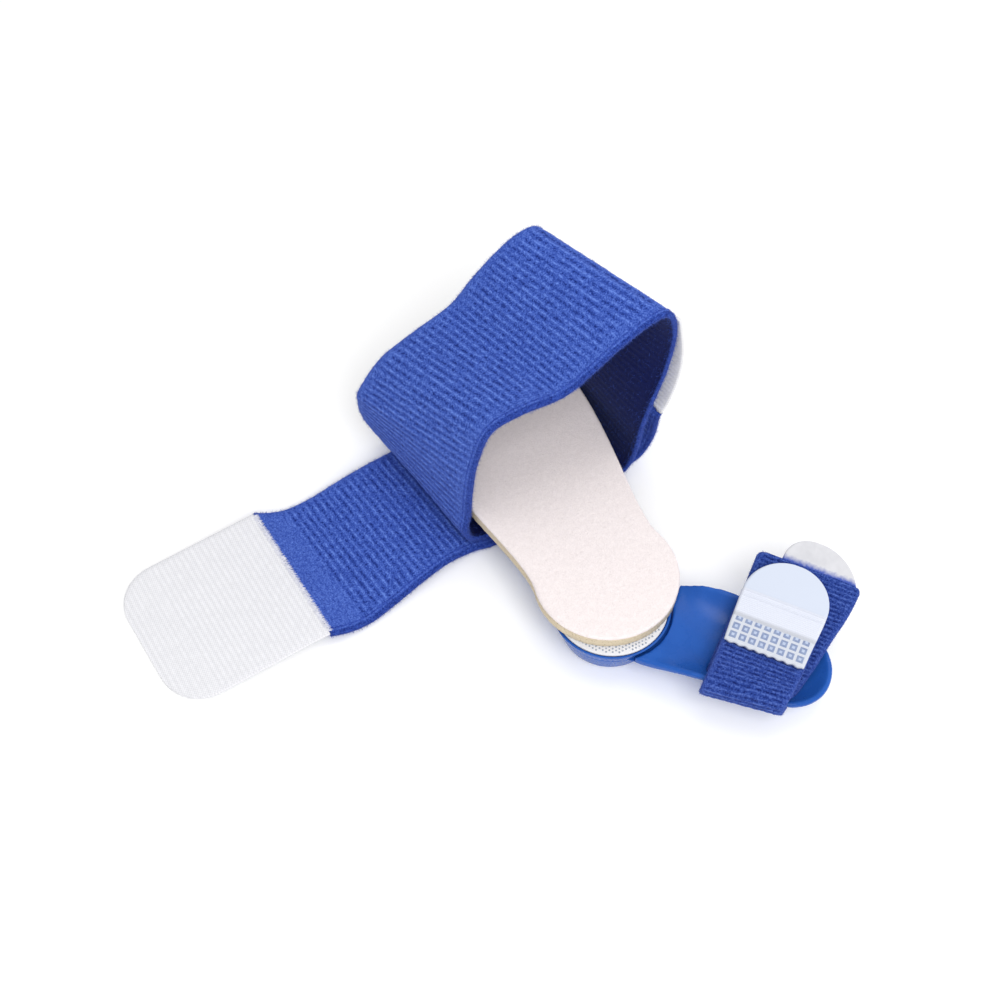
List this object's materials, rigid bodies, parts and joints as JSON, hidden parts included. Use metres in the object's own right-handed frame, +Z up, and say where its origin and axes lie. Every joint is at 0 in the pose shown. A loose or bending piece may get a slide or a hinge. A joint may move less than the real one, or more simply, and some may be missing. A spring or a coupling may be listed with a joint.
{
  "type": "bunion corrector splint",
  "caption": "Hinged big-toe splint on its back: padded midfoot arm with a wide knit strap standing as a loop, and a toe trough with a narrow strap.",
  "frame": {"origin": "foot of the hinge axis, on the flat underside of the lower disc, which is the level it lies on", "axes": "+Z up along the hinge axis, +Y along the midfoot arm away from the toe, +X across it"},
  "size_m": [0.1896, 0.1535, 0.0758],
  "materials": {
    "plastic": "satin",
    "steel": "satin",
    "hook": "fine ribbed hook tape",
    "grey_hook": "woven hook tape",
    "foam": "matt cut foam",
    "fleece": "short fleece",
    "knit": "brushed rib knit"
  },
  "bodies": {
    "arm": {"midfoot_arm": "plastic", "hinge_pin": "steel", "hook_disc": "hook", "hook_strip": "hook", "pad_foam": "foam", "pad_fleece": "fleece", "midfoot_strap": "knit", "free_tab": "hook", "closure_tab": "grey_hook"},
    "toe": {"toe_shell": "plastic", "toe_strap": "knit", "toe_tab_front": "hook", "toe_tab_back": "grey_hook"}
  },
  "joints": [
    {"name": "toe_hinge", "type": "hinge", "parent": "arm", "child": "toe", "pos_m": [0, 0, 0], "axis": [0, 0, 1], "range_deg": [-100, 20]}
  ]
}
